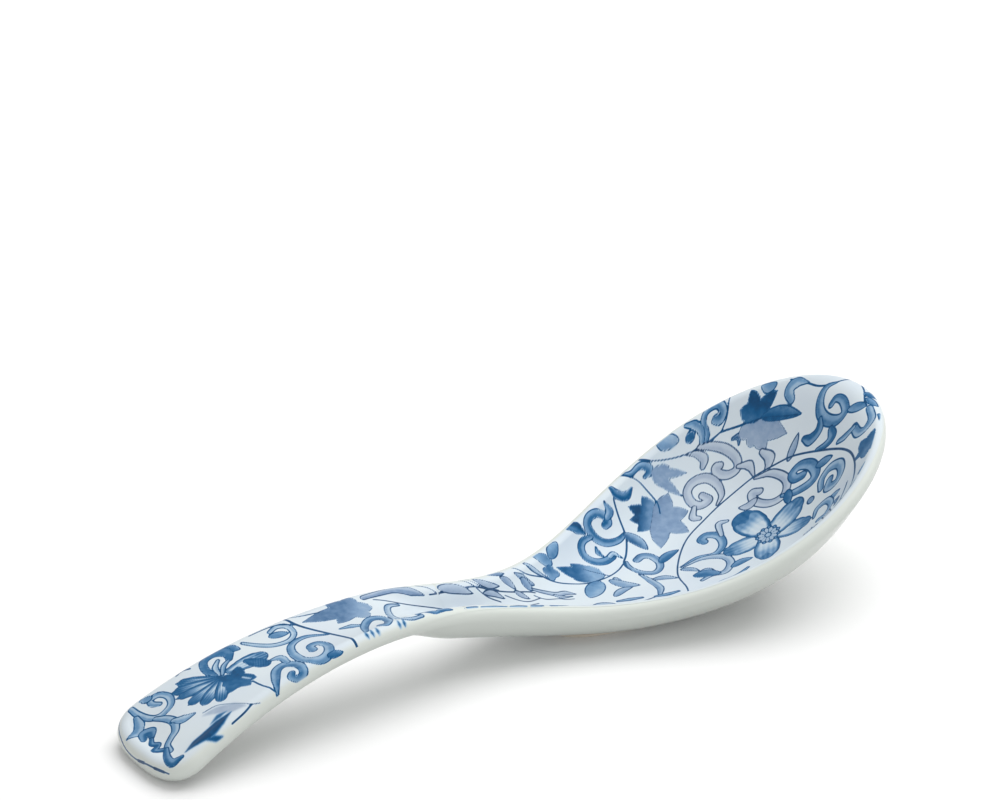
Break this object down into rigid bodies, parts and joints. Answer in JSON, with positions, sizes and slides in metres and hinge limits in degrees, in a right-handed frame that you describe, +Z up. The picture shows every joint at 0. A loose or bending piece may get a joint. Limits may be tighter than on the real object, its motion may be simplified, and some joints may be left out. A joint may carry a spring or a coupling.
{
  "type": "chinese soup spoon",
  "caption": "Porcelain soup spoon with a deep bowl rising to its lip, an oval foot and a flared, arched handle, patterned in blue under a clear glaze.",
  "frame": {"origin": "centre of the oval foot, on the table plane", "axes": "+X along the spoon from the handle to the bowl's lip, +Y across it, +Z up from the table"},
  "size_m": [0.1511, 0.0468, 0.0299],
  "materials": {
    "biscuit": "unglazed, matte",
    "cobalt": "blue print under glaze",
    "glaze": "clear, glossy"
  },
  "bodies": {
    "root": {"porcelain_body": "biscuit", "bowl_print": "cobalt", "handle_print": "cobalt", "clear_glaze": "glaze"}
  },
  "joints": []
}
